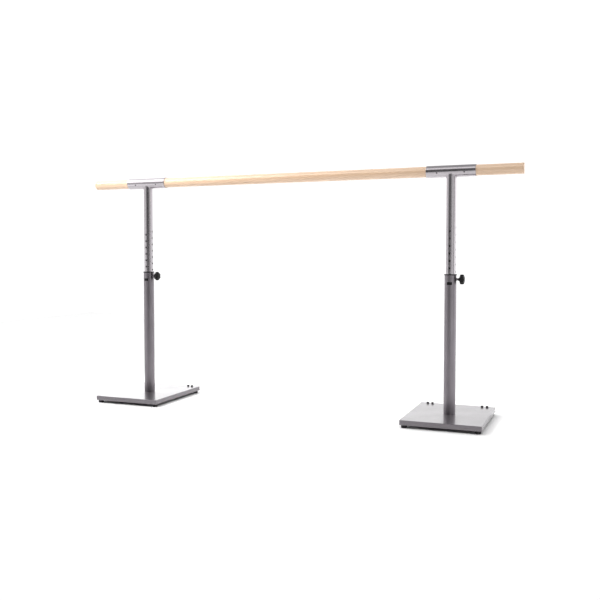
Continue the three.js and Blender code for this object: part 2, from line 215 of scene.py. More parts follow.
def swept(path, radius, closed, sides=10):
    """A round bar along a path. radius(k) is its radius at the path's point k.

    A closed path runs round Z, and an open one runs round X.
    """
    count = len(path)
    rings = []
    for k, point in enumerate(path):
        before = path[k - 1] if closed or k > 0 else point
        after = path[(k + 1) % count] if closed or k < count - 1 else point
        forward = (after - before).normalized()
        off_axis = Vector((point.x, point.y, 0)) if closed else Vector((0, point.y, point.z))
        out = off_axis.normalized()
        out = (out - forward * out.dot(forward)).normalized()
        across = forward.cross(out)
        angles = [2 * math.pi * i / sides for i in range(sides)]
        rings.append([point + radius(k) * (math.cos(a) * out + math.sin(a) * across) for a in angles])
    if not closed:
        return lofted(rings)
    bm = bmesh.new()
    rows = [[bm.verts.new(p) for p in ring] for ring in rings]
    for k, low in enumerate(rows):
        high = rows[(k + 1) % count]
        for i in range(sides):
            nxt = (i + 1) % sides
            bm.faces.new((low[i], low[nxt], high[nxt], high[i]))
    bmesh.ops.recalc_face_normals(bm, faces=bm.faces)
    return bm


def moved(bm, matrix):
    bm.transform(matrix)
    return bm


def together(*parts):
    """Several solids as one mesh, without joining their faces."""
    result = bmesh.new()
    for part in parts:
        mesh = bpy.data.meshes.new("part")
        part.to_mesh(mesh)
        part.free()
        result.from_mesh(mesh)
        bpy.data.meshes.remove(mesh)
    return result


def boolean(target, tool, operation):
    """The difference, union or intersection of two solids. Removing a mesh also removes its object."""
    objects = []
    for bm in (target, tool):
        mesh = bpy.data.meshes.new("solid")
        bm.to_mesh(mesh)
        bm.free()
        objects.append(bpy.data.objects.new("solid", mesh))
        bpy.context.scene.collection.objects.link(objects[-1])
    modifier = objects[0].modifiers.new("boolean", "BOOLEAN")
    modifier.operation = operation
    modifier.solver = "EXACT"
    modifier.object = objects[1]
    depsgraph = bpy.context.evaluated_depsgraph_get()
    mesh = bpy.data.meshes.new_from_object(objects[0].evaluated_get(depsgraph))
    result = bmesh.new()
    result.from_mesh(mesh)
    for used in [mesh, *(o.data for o in objects)]:
        bpy.data.meshes.remove(used)
    return result


def cut(target, *tools):
    return boolean(target, together(*tools), "DIFFERENCE")


def bevelled(bm, width, segments=3, sharp=30):
    """Rounds the edges that are sharper than an angle in degrees."""
    limit = math.radians(sharp)
    edges = [e for e in bm.edges if len(e.link_faces) == 2 and e.calc_face_angle() > limit]
    bmesh.ops.bevel(
        bm, geom=edges, offset=width, segments=segments, profile=0.5,
        affect="EDGES", clamp_overlap=True,
    )
    return bm


def mesh_from(bm, name, walls=(), sharp=38):
    """A smooth-shaded mesh in metres. walls are the radii of round walls shaded as true cylinders."""
    mesh = bpy.data.meshes.new(name)
    bm.to_mesh(mesh)
    bm.free()
    mesh.polygons.foreach_set("use_smooth", [True] * len(mesh.polygons))
    mesh.set_sharp_from_angle(angle=math.radians(sharp))
    holder = bpy.data.objects.new("holder", mesh)
    bpy.context.scene.collection.objects.link(holder)
    weighted = holder.modifiers.new("weighted", "WEIGHTED_NORMAL")
    weighted.keep_sharp = True
    depsgraph = bpy.context.evaluated_depsgraph_get()
    result = bpy.data.meshes.new_from_object(holder.evaluated_get(depsgraph))
    bpy.data.meshes.remove(mesh)
    result.name = name
    if walls:
        round_off(result, walls)
    result.transform(Matrix.Scale(MM, 4))
    return result


def round_off(mesh, walls):
    """Gives the face corners on walls round Z, at these radii, the cylinder's own normal."""
    tolerance, steepest = 0.03, 0.8
    normals = [n.vector.copy() for n in mesh.corner_normals]
    for loop, normal in zip(mesh.loops, normals):
        point = mesh.vertices[loop.vertex_index].co
        radius = math.hypot(point.x, point.y)
        if any(abs(radius - wall) < tolerance for wall in walls):
            out = Vector((point.x, point.y, 0)) / radius
            if abs(out.dot(normal)) > steepest:
                normal[:] = out if out.dot(normal) > 0 else -out
    mesh.normals_split_custom_set(normals)


def place(mesh, node, spot, slot, turn=UPRIGHT, replaces=True):
    """Puts a mesh in the scene, at a spot in metres, as a piece that rides on its node's body."""
    piece = bpy.data.objects.new(node + "_detail", mesh)
    bpy.context.scene.collection.objects.link(piece)
    piece.matrix_world = Matrix.Translation(spot) @ turn
    if not mesh.materials:
        mesh.materials.append(MATERIALS[slot])
    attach(piece, BODY_OF[node])
    if replaces:
        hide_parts(node)
    return piece


def place_on_stands(mesh, node, slot, turn=UPRIGHT, offset=(0, 0, 0)):
    """Puts the same mesh on both stands, at an offset in millimetres from each stand's origin."""
    for side in SIDES:
        place(mesh, side + node, stand_origin(side) + Vector(offset) * MM, slot, turn)


# ---------------------------------------------------------------- materials


class Finish:
    """A material's node tree, with short calls to add nodes and set the shader."""

    def __init__(self, name):
        self.material = bpy.data.materials.new(name)
        self.material.use_nodes = True
        self.tree = self.material.node_tree
        self.shader = self.tree.nodes["Principled BSDF"]

    def node(self, kind, inputs=(), output=0, **settings):
        """Adds a node and returns one of its outputs."""
        made = self.tree.nodes.new("ShaderNode" + kind)
        for key, value in settings.items():
            setattr(made, key, value)
        self.feed(made, inputs)
        return made.outputs[output]

    def feed(self, made, inputs):
        for key, value in dict(inputs).items():
            if isinstance(value, bpy.types.NodeSocket):
                self.tree.links.new(value, made.inputs[key])
            else:
                made.inputs[key].default_value = value

    def set(self, **inputs):
        """Sets the shader's inputs, with _ for a space in a name."""
        self.feed(self.shader, {key.replace("_", " "): value for key, value in inputs.items()})

    def maths(self, operation, a, b):
        return self.node("Math", {0: a, 1: b}, operation=operation)

    def here(self, scale=(1, 1, 1)):
        """The point on the piece, in metres from its origin, scaled along each axis."""
        point = self.node("TexCoord", output="Object")
        return self.node("Mapping", {"Vector": point, "Scale": scale})

    def noise(self, vector, scale, detail=2.0, roughness=0.5, distortion=0.0):
        return self.node("TexNoise", {
            "Vector": vector, "Scale": scale, "Detail": detail,
            "Roughness": roughness, "Distortion": distortion,
        })

    def spread(self, value, low, high, to_low=0.0, to_high=1.0):
        """Maps a value from one range onto another, and holds it there."""
        return self.node("MapRange", {
            "Value": value, "From Min": low, "From Max": high, "To Min": to_low, "To Max": to_high,
        })

    def blend(self, share, a, b):
        """Colour a turning into colour b as share goes from 0 to 1."""
        mix = self.tree.nodes.new("ShaderNodeMix")
        mix.data_type = "RGBA"
        for socket, value in ((mix.inputs[0], share), (mix.inputs[6], a), (mix.inputs[7], b)):
            if isinstance(value, bpy.types.NodeSocket):
                self.tree.links.new(value, socket)
            else:
                socket.default_value = value
        return mix.outputs[2]

    def bump(self, height, depth, strength=1.0):
        """Raises the surface by height, which runs from 0 to 1 over a depth in metres."""
        self.set(Normal=self.node("Bump", {"Height": height, "Distance": depth, "Strength": strength}))

    def around(self, turns, along):
        """Coordinates on a tube round Z: the way round it, and the way along it."""
        parts = self.tree.nodes.new("ShaderNodeSeparateXYZ")
        self.feed(parts, {0: self.here()})
        turn = self.maths("ARCTAN2", parts.outputs[1], parts.outputs[0])
        round_it = self.maths("MULTIPLY", turn, turns)
        along_it = self.maths("MULTIPLY", parts.outputs[2], along)
        return self.node("CombineXYZ", {0: round_it, 1: along_it})


def colour(*channels):
    """A linear colour from sRGB values of 0 to 255."""
    linear = [((v / 255 + 0.055) / 1.055) ** 2.4 if v > 10 else v / 255 / 12.92 for v in channels]
    return (*linear, 1.0)


BEECH_PALE = colour(229, 197, 166)
BEECH_MID = colour(221, 186, 153)
BEECH_DARK = colour(198, 157, 120)
FLECK = colour(172, 124, 84)
BRIGHT_STEEL = colour(185, 180, 184)
SATIN_STEEL = colour(132, 127, 132)
SILVER_PAINT = colour(100, 95, 100)
PAINT_FLAKE = colour(142, 137, 142)
ZINC = colour(188, 188, 184)
SPRING_WIRE = colour(175, 175, 172)
OXIDE = colour(96, 92, 96)
PLASTIC = colour(15, 14, 16)
RUBBER = colour(24, 24, 24)
TYRE = colour(52, 52, 54)


def beech():
    """Lacquered beech: straight grain and growth rings along the rail, with short dark flecks."""
    wood = Finish("beech")
    ring_tint, fibre_tint, fleck_tint = 0.22, 0.16, 0.22
    broad = wood.noise(wood.here((14, 14, 0.8)), 1.0, detail=3)
    rings = wood.node("TexWave", {
        "Vector": wood.here((1, 1, 0.03)), "Scale": 42.0, "Distortion": 5.0,
        "Detail": 3.0, "Detail Scale": 1.6, "Detail Roughness": 0.6,
    }, output="Fac")
    fibres = wood.noise(wood.here((700, 700, 14)), 1.0, detail=3, roughness=0.6)
    rays = wood.noise(wood.here((900, 900, 210)), 1.0, detail=1)
    tone = wood.blend(wood.spread(broad, 0.35, 0.68), BEECH_PALE, BEECH_MID)
    tone = wood.blend(wood.maths("MULTIPLY", wood.maths("POWER", rings, 2.4), ring_tint), tone, BEECH_DARK)
    tone = wood.blend(wood.spread(fibres, 0.42, 0.75, 0.0, fibre_tint), tone, BEECH_DARK)
    fleck = wood.spread(rays, 0.63, 0.7)
    tone = wood.blend(wood.maths("MULTIPLY", fleck, fleck_tint), tone, FLECK)
    wood.set(
        Base_Color=tone,
        Roughness=wood.spread(fibres, 0.3, 0.7, 0.38, 0.5),
        Specular_IOR_Level=0.5, Coat_Weight=1.0, Coat_Roughness=0.3, Coat_IOR=1.7,
    )
    wood.bump(wood.maths("SUBTRACT", fibres, wood.maths("MULTIPLY", fleck, 0.6)), 0.00006, 0.5)
    return wood.material


def bright_steel():
    """Bright drawn tube: slightly soft reflections, with faint draw lines along it."""
    steel = Finish("polished_steel")
    lines = steel.noise(steel.around(60.0, 1.5), 1.0, detail=2)
    smears = steel.noise(steel.around(1.2, 8.0), 1.0, detail=2)
    steel.set(
        Base_Color=steel.blend(steel.spread(smears, 0.4, 0.7, 0.0, 0.1), BRIGHT_STEEL, SATIN_STEEL),
        Metallic=1.0,
        Roughness=steel.spread(steel.maths("ADD", smears, lines), 0.7, 1.3, 0.2, 0.25),
    )
    steel.bump(lines, 0.000003, 0.2)
    return steel.material


def satin_steel():
    """Satin tube: soft bands, with fine brushing round it."""
    steel = Finish("satin_steel")
    brushing = steel.noise(steel.around(1.4, 2600.0), 1.0, detail=3, roughness=0.7)
    patches = steel.noise(steel.around(1.2, 11.0), 1.0, detail=3)
    steel.set(
        Base_Color=steel.blend(steel.spread(patches, 0.3, 0.75, 0.0, 0.3), SATIN_STEEL, SILVER_PAINT),
        Metallic=1.0,
        Roughness=steel.spread(steel.maths("ADD", brushing, patches), 0.7, 1.3, 0.3, 0.42),
    )
    steel.bump(brushing, 0.00002, 0.4)
    return steel.material


def silver_paint():
    """Silver-grey metallic paint: fine flake under a clear, slightly rippled coat."""
    paint = Finish("silver_paint")
    flake = paint.node("TexVoronoi", {"Vector": paint.here(), "Scale": 1500.0}, output="Color")
    share = paint.node("SeparateColor", {0: flake})
    ripple = paint.noise(paint.here(), 220.0, detail=2)
    patches = paint.noise(paint.here(), 9.0, detail=3)
    paint.set(
        Base_Color=paint.blend(paint.spread(share, 0.0, 1.0, 0.0, 0.5), SILVER_PAINT, PAINT_FLAKE),
        Metallic=0.75,
        Roughness=paint.spread(patches, 0.3, 0.7, 0.3, 0.38),
        Coat_Weight=0.7, Coat_Roughness=0.07, Coat_IOR=1.5,
    )
    paint.bump(ripple, 0.00005, 0.25)
    return paint.material


def zinc_steel():
    """Dull zinc plate with its faint, cloudy grain."""
    zinc = Finish("zinc_steel")
    grain = zinc.node("TexVoronoi", {"Vector": zinc.here(), "Scale": 420.0}, output="Distance")
    clouds = zinc.noise(zinc.here(), 60.0, detail=4, roughness=0.6)
    zinc.set(
        Base_Color=zinc.blend(zinc.spread(clouds, 0.35, 0.7, 0.0, 0.5), ZINC, SATIN_STEEL),
        Metallic=1.0,
        Roughness=zinc.spread(grain, 0.0, 0.6, 0.36, 0.5),
    )
    zinc.bump(clouds, 0.00004, 0.4)
    return zinc.material


def spring_wire():
    wire = Finish("spring_steel")
    marks = wire.noise(wire.here(), 900.0, detail=3)
    wire.set(Base_Color=SPRING_WIRE, Metallic=1.0, Roughness=wire.spread(marks, 0.3, 0.7, 0.25, 0.42))
    wire.bump(marks, 0.00001, 0.5)
    return wire.material


def black_steel():
    """Black-oxide fasteners: dark grey metal with a sheen and a fine tooth."""
    steel = Finish("black_steel")
    tooth = steel.noise(steel.here(), 1400.0, detail=3, roughness=0.65)
    steel.set(
        Base_Color=steel.blend(steel.spread(tooth, 0.4, 0.7, 0.0, 0.4), OXIDE, TYRE),
        Metallic=0.8,
        Roughness=steel.spread(tooth, 0.3, 0.7, 0.28, 0.42),
    )
    steel.bump(tooth, 0.00003, 0.4)
    return steel.material


def moulded(name, base, worn, roughness, scale):
    """Moulded plastic or rubber: an even colour with a fine spark-eroded texture."""
    surface = Finish(name)
    texture = surface.noise(surface.here(), scale, detail=3, roughness=0.6)
    clouds = surface.noise(surface.here(), 30.0, detail=2)
    surface.set(
        Base_Color=surface.blend(surface.spread(clouds, 0.35, 0.7, 0.0, 0.35), base, worn),
        Roughness=surface.spread(texture, 0.3, 0.7, roughness - 0.07, roughness + 0.07),
        Specular_IOR_Level=0.2,
    )
    surface.bump(texture, 0.00005, 0.45)
    return surface.material


MATERIALS = {
    "beech": beech(),
    "polished_steel": bright_steel(),
    "satin_steel": satin_steel(),
    "silver_paint": silver_paint(),
    "zinc_steel": zinc_steel(),
    "spring_steel": spring_wire(),
    "black_steel": black_steel(),
    "black_plastic": moulded("black_plastic", PLASTIC, RUBBER, 0.45, 1300.0),
    "black_rubber": moulded("black_rubber", RUBBER, OXIDE, 0.72, 900.0),
    "wheel_rubber": moulded("wheel_rubber", TYRE, OXIDE, 0.66, 1000.0),
}


# ---------------------------------------------------------------- base


def rounded_rectangle(width, depth, radius, inset, height):
    """A ring of points at a height, with round corners, pulled in by an inset."""
    smallest = 0.4
    x, y, r = width / 2 - radius, depth / 2 - radius, max(radius - inset, smallest)
    pull = radius - inset - r
    points = []
    for corner_x, corner_y, start in ((x, y, 0), (-x, y, 90), (-x, -y, 180), (x, -y, 270)):
        cx = corner_x + math.copysign(pull, corner_x)
        cy = corner_y + math.copysign(pull, corner_y)
        points += [(px, py, height) for px, py in arc(cx, cy, r, start, start + 90, 5)]
    return points


def make_base_plate():
    """Painted steel plate with broken edges and the post screw's recess underneath."""
    low, high = on_stand("base_plate")
    width, depth = high.x - low.x, high.y - low.y
    corner, edge = 3.5, 1.3
    recess_radius, recess_depth = 11.6, 7.5
    rings = []
    for start, centre in ((-90, low.z + edge), (0, high.z - edge)):
        for out, height in arc(-edge, centre, edge, start, start + 90, 4):
            rings.append(rounded_rectangle(width, depth, corner, -out, height))
    recess = rod(recess_radius, low.z - 1, low.z + recess_depth)
    mesh = mesh_from(cut(lofted(rings), recess), "base_plate")
    place_on_stands(mesh, "base_plate", "silver_paint")


def make_feet():
    """Round rubber feet with a groove and a hollowed sole, each on a peg pressed into the plate."""
    low, high = on_stand("foot_front_left")
    peg, peg_radius = 9, 4
    top = high.z - peg
    radius = (high.x - low.x) / 2
    hollow, hollow_radius, toe, lip = 0.6, 6, 3, 0.8
    groove, groove_half, groove_depth = top / 2 + 1, 1, 0.6
    groove_in = radius - groove_depth
    groove_floor = groove_half - groove_depth
    outline = [
        (0, hollow), (hollow_radius - 0.5, hollow), (hollow_radius, 0), *arc(radius - toe, toe, toe, -90, 0),
        (radius, groove - groove_half), (groove_in, groove - groove_floor),
        (groove_in, groove + groove_floor), (radius, groove + groove_half),
        *arc(radius - lip, top - lip, lip, 0, 90, 3), (peg_radius, top), (peg_radius, high.z), (0, high.z),
    ]
    mesh = mesh_from(turned(outline, 64), "foot")
    for side in SIDES:
        for corner in ("front_left", "back_left", "front_right", "back_right"):
            node = side + "foot_" + corner
            middle = middle_of(node)
            place(mesh, node, Vector((middle.x, middle.y, 0)), "black_rubber")


def hexagon(radius, bottom, top):
    """A six-sided bar, by its radius to the corners."""
    return rod(radius, bottom, top, 6)


def make_bolts():
    """Black cap-head bolts in pairs, each with a hexagon socket and a knurled rim."""
    plate_top = on_stand("base_plate")[1].z
    low, high = on_stand("bracket_bolt_left_outer")
    radius, head = (high.x - low.x) / 2, high.z - plate_top
    length, shank, tip, crown = plate_top - low.z, 3, 0.6, 1.2
    ridges, ridge_depth = 30, 0.28
    socket, socket_depth = 2.9, 3
    outline = [
        (0, -length), (shank - tip, -length), (shank, tip - length), (shank, 0), (radius - 0.4, 0),
        (radius, 0.4), (radius, head - crown - 0.4), *arc(radius - crown, head - crown, crown, 0, 90, 5),
        (3.2, head), (0, head),
    ]

    def knurled(turn, r, h):
        on_rim = r > radius - 0.05 and 0.3 < h < head - crown - 0.3
        return r - ridge_depth * (0.5 + 0.5 * math.cos(ridges * turn)) if on_rim else r

    bolt = turned(outline, 4 * ridges, knurled)
    socketed = cut(bolt, hexagon(socket, head - socket_depth, head + 1))
    mesh = mesh_from(socketed, "bracket_bolt", sharp=40)
    for side in SIDES:
        for name in ("left_outer", "left_inner", "right_outer", "right_inner"):
            node = side + "bracket_bolt_" + name
            middle = middle_of(node)
            place(mesh, node, Vector((middle.x, middle.y, plate_top * MM)), "black_steel")


# ---------------------------------------------------------------- wheels


def make_wheel_brackets():
    """Folded brackets under the plate's back edge, with two cheeks for the axle."""
    low, high = on_stand("wheel_bracket_left")
    half = (high.x - low.x) / 2
    wheel_low, wheel_high = on_stand("wheel_left")
    axle_y, axle_z = (wheel_low.y + wheel_high.y) / 2, (wheel_low.z + wheel_high.z) / 2
    plate_low, plate_high = on_stand("base_plate")
    plate_back, plate_bottom = plate_high.y, plate_low.z
    sheet, wheel_gap, edge, axle_hole = 3, 0.8, 0.35, 3.05
    lower_corner, upper_corner = 6, 5
    strap_back = plate_back - 3
    cheek_in = (wheel_high.x - wheel_low.x) / 2 + wheel_gap
    strap = block((-half, low.y, plate_bottom - sheet), (half, strap_back, plate_bottom))
    start = plate_back - 16
    outline = [
        (start, low.z),
        *arc(high.y - lower_corner, low.z + lower_corner, lower_corner, -90, 0, 5),
        *arc(high.y - upper_corner, high.z - upper_corner, upper_corner, 0, 90, 5),
        (plate_back + 1, high.z), (plate_back + 1, plate_bottom), (start, plate_bottom),
    ]
    spans = ((-cheek_in - sheet, -cheek_in), (cheek_in, cheek_in + sheet))
    cheeks = [prism(outline, *span) for span in spans]
    body = boolean(strap, together(*cheeks), "UNION")
    hole = moved(rod(axle_hole, -half - 1, half + 1, 36), Matrix.Translation((0, axle_y, axle_z)) @ ALONG_X)
    mesh = mesh_from(bevelled(cut(body, hole), edge, 2, 40), "wheel_bracket")
    from_middle = (low.x + high.x) / 2 * MM
    for side in SIDES:
        for end, sign in (("left", 1), ("right", -1)):
            spot = stand_origin(side) + Vector((from_middle * sign, 0, 0))
            place(mesh, side + "wheel_bracket_" + end, spot, "zinc_steel")


def make_wheels():
    """Rubber-tyred wheels with a hub boss and a recessed web, on riveted axles."""
    low, high = on_stand("wheel_left")
    radius, half = (high.z - low.z) / 2, (high.x - low.x) / 2
    bore, boss, web, shoulder = 3.1, 6.2, 10.4, 2.4
    flank = [
        (bore, -half), (boss, -half), (boss + 0.4, 1.4 - half), (web, 1.6 - half), (web + 0.6, 0.3 - half),
        (web + 1.8, -half), *arc(radius - shoulder, shoulder - half, shoulder, -80, 0, 5),
    ]
    outline = [*flank, (radius, 0), *[(r, -x) for r, x in reversed(flank)]]
    wheel_mesh = mesh_from(turned(outline, 72), "wheel")
    low, high = on_stand("wheel_axle_left")
    half_length, head = (high.x - low.x) / 2, (high.z - low.z) / 2
    axle, head_depth, dome = 3, 1.5, 1.2
    under_head = head_depth - half_length
    rivet = [
        (0, -half_length), *arc(head - dome, dome - half_length, dome, -90, 0, 5), (head, under_head),
        (axle, under_head),
    ]
    axle_mesh = mesh_from(turned(mirrored_ends(rivet), 40), "wheel_axle")
    for side in SIDES:
        for end in ("left", "right"):
            middle = middle_of(side + "wheel_" + end)
            place(wheel_mesh, side + "wheel_" + end, middle, "wheel_rubber", ALONG_X)
            place(axle_mesh, side + "wheel_axle_" + end, middle, "zinc_steel", ALONG_X)


# ---------------------------------------------------------------- lower post

# The wall of both posts, and the window in the lower one that the collar's tab fills.
WALL = 2
TAB_HALF_WIDTH = 10.3
TAB_BOTTOM, TAB_TOP = 558.7, 570.3


def tab_block(gap, front, back):
    """A block in the place of the collar's tab, larger by a gap all round."""
    half = TAB_HALF_WIDTH + gap
    return block((-half, front, TAB_BOTTOM - gap), (half, back, TAB_TOP + gap))


def pin_height():
    """The height of the plunger pin's axis above the floor, in millimetres."""
    low, high = on_stand("plunger_pin")
    return (low.z + high.z) / 2


def make_lower_post():
    """Satin outer tube with the collar tab's window and the plunger's hole."""
    low, high = on_stand("lower_post")
    outer = high.x
    inner = outer - WALL
    tab_gap, window_corner, hole_radius = 0.15, 0.8, 3.6
    body = tube(inner, outer, low.z, high.z, 0.5, 128)
    window = bevelled(tab_block(tab_gap, -outer - 3, -inner / 2), window_corner, 3, 60)
    pin_path = Matrix.Translation((0, 0, pin_height())) @ ALONG_X
    opening = moved(rod(hole_radius, inner / 2, outer + 2, 32), pin_path)
    mesh = mesh_from(cut(body, window, opening), "lower_post", walls=(inner, outer))
    place_on_stands(mesh, "lower_post", "satin_steel")


def make_post_fixing():
    """The steel plug in the post's foot, and the screw that pulls it down on the plate."""
    shank, gap = 6, 0.1
    low, high = on_stand("post_plug")
    plug = tube(shank + gap, high.x, low.z, high.z, 0.6, 72)
    place_on_stands(mesh_from(plug, "post_plug"), "post_plug", "zinc_steel")
    low, high = on_stand("post_screw")
    head, socket, socket_depth = 6.5, 5.5, 3
    outline = [
        (0, low.z), *arc(high.x - 1, low.z + 1, 1, -90, 0, 4), (high.x, low.z + head), (shank, low.z + head),
        (shank, high.z - 1), (shank - 1, high.z), (0, high.z),
    ]
    screw = cut(turned(outline, 64), hexagon(socket, low.z - 1, low.z + socket_depth))
    place_on_stands(mesh_from(screw, "post_screw", sharp=30), "post_screw", "zinc_steel")


def make_collar():
    """Black bush with a flange on the tube's end, and the tab that snaps into the tube's window."""
    low, high = on_stand("collar_bush")
    post_high = on_stand("lower_post")[1]
    flange, seat, outer = high.x, post_high.z, post_high.x
    skirt, bore = outer - WALL - 0.05, outer - WALL - 0.9
    rim, pin_hole = 1.6, 2.8
    outline = [
        (bore, low.z + 0.8), (bore + 0.5, low.z), (skirt, low.z), (skirt, seat), (flange - 0.4, seat),
        (flange, seat + 0.4), *arc(flange - rim, high.z - rim, rim, 0, 90, 5), (bore + 0.8, high.z),
        (bore, high.z - 0.8),
    ]
    pin_path = Matrix.Translation((0, 0, pin_height())) @ ALONG_X
    bush = cut(turned(outline, 96), moved(rod(pin_hole, bore / 2, outer, 32), pin_path))
    tab_back, tab_face, tab_edge = bore + 0.3, outer - 0.3, 0.4
    shell = turned([(tab_back, low.z), (tab_face, low.z), (tab_face, seat), (tab_back, seat)], 192)
    tab = boolean(shell, tab_block(0, -outer, -bore / 2), "INTERSECT")
    whole = together(bush, bevelled(tab, tab_edge, 2, 60))
    mesh = mesh_from(whole, "collar_bush", walls=(tab_face, bore))
    place_on_stands(mesh, "collar_bush", "black_plastic")


# ---------------------------------------------------------------- plunger


def make_plunger_housing():
    """Steel boss welded on the outer tube's side, with the barrel that holds the spring."""
    high = on_stand("plunger_housing")[1]
    outer = on_stand("lower_post")[1].x
    radius, face = high.y, outer + 3.8
    barrel, bore, pin_bore, chamfer = radius - 1, 3.6, 2.6, 0.6
    inside_post, end_wall, past = outer - 6, high.x - 2, 20
    body = turned([
        (bore, inside_post), (radius, inside_post), (radius, face - chamfer), (radius - chamfer, face),
        (barrel, face), (barrel, high.x - chamfer), (barrel - chamfer, high.x), (pin_bore, high.x),
        (pin_bore, end_wall), (bore, end_wall),
    ], 64)
    post = moved(rod(outer + 0.02, -past, past, 128), ALONG_X.inverted())
    mesh = mesh_from(cut(body, post), "plunger_housing", walls=(radius, barrel), sharp=35)
    place_on_stands(mesh, "plunger_housing", "satin_steel", ALONG_X, (0, 0, pin_height()))


def make_plunger_pin():
    """Steel pin with a rounded nose and a flange that the spring presses on."""
    low, high = on_stand("plunger_pin")
    radius, nose, flange = 2.5, 0.8, 3.4
    flange_start = on_stand("lower_post")[1].x + 3.6
    flange_end = flange_start + 1.4
    outline = [
        (0, low.x), *arc(radius - nose, low.x + nose, nose, -90, 0, 4), (radius, low.x + 1.8),
        (radius, flange_start), (flange, flange_start), (flange, flange_end), (radius, flange_end),
        (radius, high.x), (0, high.x),
    ]
    mesh = mesh_from(turned(outline, 40), "plunger_pin")
    place_on_stands(mesh, "plunger_pin", "zinc_steel", ALONG_X, (0, 0, pin_height()))


def make_plunger_spring():
    """Coil spring round the pin, with its own copy of the mesh on each stand."""
    low, high = on_stand("plunger_spring")
    wire, turns, steps = 0.35, 5, 28
    radius = (high.z - low.z) / 2 - wire
    start, end = low.x + wire, high.x - wire
    path = []
    for k in range(turns * steps + 1):
        turn = 2 * math.pi * k / steps
        along = start + (end - start) * k / (turns * steps)
        path.append(Vector((along, radius * math.cos(turn), radius * math.sin(turn))))
    mesh = mesh_from(swept(path, lambda k: wire, closed=False), "plunger_spring", sharp=60)
    for side in SIDES:
        spot = stand_origin(side) + Vector((0, 0, pin_height())) * MM
        spring = place(mesh, side + "plunger_spring", spot, "spring_steel")
        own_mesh(spring)


def lobed(lobes, depth, inner, outer):
    """How a knob's radius varies: it dips between its lobes, and less near its middle."""

    def reach(turn, r, h):
        dip = (0.5 - 0.5 * math.cos(lobes * turn)) ** 1.5
        share = min(max((r - inner) / (outer - inner), 0), 1)
        return r - depth * dip * share

    return reach


def make_knob():
    """Six-lobed black knob: a conical neck over the barrel, and a domed head with a cap in its face."""
    low, high = on_stand("plunger_knob")
    radius = (high.z - low.z) / 2
    neck, head, rim, face = low.x, low.x + 7, low.x + 18.5, high.x
    back, crown, cap = 4, 8, 6
    lobes, lobe_depth, lobe_start = 6, 4, 9.6
    space, space_end = 4.8, low.x + 14.5
    dome_out, dome_up = radius - crown, face - 0.3 - rim
    dome = [(crown + dome_out * out, rim + dome_up * up) for out, up in arc(0, 0, 1, 0, 90, 12)]
    outline = [
        (0, space_end), (space, space_end), (space, neck),
        *arc(space + 0.5, neck + 0.5, 0.5, -90, 0, 3), (6.6, neck + 3), (8, head - 1.8),
        (lobe_start, head - 0.4), (11, head), *arc(radius - back, head + back, back, -90, 0, 5), *dome,
        (cap + 1.6, face - 0.9), (cap + 1, face - 0.9), (cap + 0.6, face - 0.2), (cap, face), (0, face),
    ]
    bm = turned(outline, 144, lobed(lobes, lobe_depth, lobe_start, radius - 1))
    mesh = mesh_from(bm, "plunger_knob", sharp=50)
    place_on_stands(mesh, "plunger_knob", "black_plastic", ALONG_X, (0, 0, pin_height()))


# ---------------------------------------------------------------- upper post and sleeve

GRUB_RADIUS = 3


def drill(radius, start, surface):
    """A drill from inside a tube outwards, just wider where it breaks the tube's surface."""
    flare, end = 0.05, surface + 2
    return turned([
        (0, start), (radius, start), (radius, surface - flare), (radius + flare, surface),
        (radius + flare, end), (0, end),
    ], 40)


def make_upper_post():
    """Bright inner tube with two staggered rows of index holes, coped under the sleeve."""
    low, high = on_stand("upper_post")
    sleeve_low, sleeve_high = on_stand("rail_sleeve")
    outer = high.x
    inner = outer - WALL
    axis_height = (sleeve_low.z + sleeve_high.z) / 2
    sleeve_radius = (sleeve_high.z - sleeve_low.z) / 2
    pitch, hole_radius = 30, 4.1
    holes_below, holes_above, past = 4, 7, 60
    body = tube(inner, outer, low.z, axis_height, 0.4, 128)
    rail_axis = Matrix.Translation((0, 0, axis_height)) @ ALONG_X
    cope = moved(rod(sleeve_radius + 0.03, -past, past, 160), rail_axis)
    to_front = Matrix.Rotation(math.radians(90), 4, "X")
    drills = []
    for step in range(-holes_below, holes_above + 1):
        side = Matrix.Translation((0, 0, pin_height() + step * pitch)) @ ALONG_X
        front = Matrix.Translation((0, 0, pin_height() + (step - 0.5) * pitch)) @ to_front
        drills += [moved(drill(hole_radius, inner / 2, outer), matrix) for matrix in (side, front)]
    body = cut(cut(body, cope), *drills)
    mesh = mesh_from(body, "upper_post", walls=(inner, outer))
    place_on_stands(mesh, "upper_post", "polished_steel")


def make_glide():
    """Plastic plug in the upper post's foot, with a lip that slides in the lower post."""
    low, high = on_stand("post_glide")
    lip_top, lip_edge, hollow, chamfer = low.z + 6, 1.2, 2, 0.6
    plug = on_stand("upper_post")[1].x - WALL - 0.05
    outline = [
        (0, low.z + hollow), (8, low.z + hollow), (9, low.z),
        *arc(high.x - lip_edge, low.z + lip_edge, lip_edge, -90, 0, 4), (high.x, lip_top), (plug, lip_top),
        (plug, high.z - chamfer), (plug - chamfer, high.z), (0, high.z),
    ]
    place_on_stands(mesh_from(turned(outline, 96), "post_glide"), "post_glide", "black_plastic")


def grub_direction():
    """The way from the rail's axis out along the grub screws."""
    out = middle_of("left_grub_screw_1") - middle_of("left_rail_sleeve")
    return Vector((0, out.y, out.z)).normalized()


def turn_to(direction):
    """The turn that points Z along a direction."""
    return direction.to_track_quat("Z", "X").to_matrix().to_4x4()


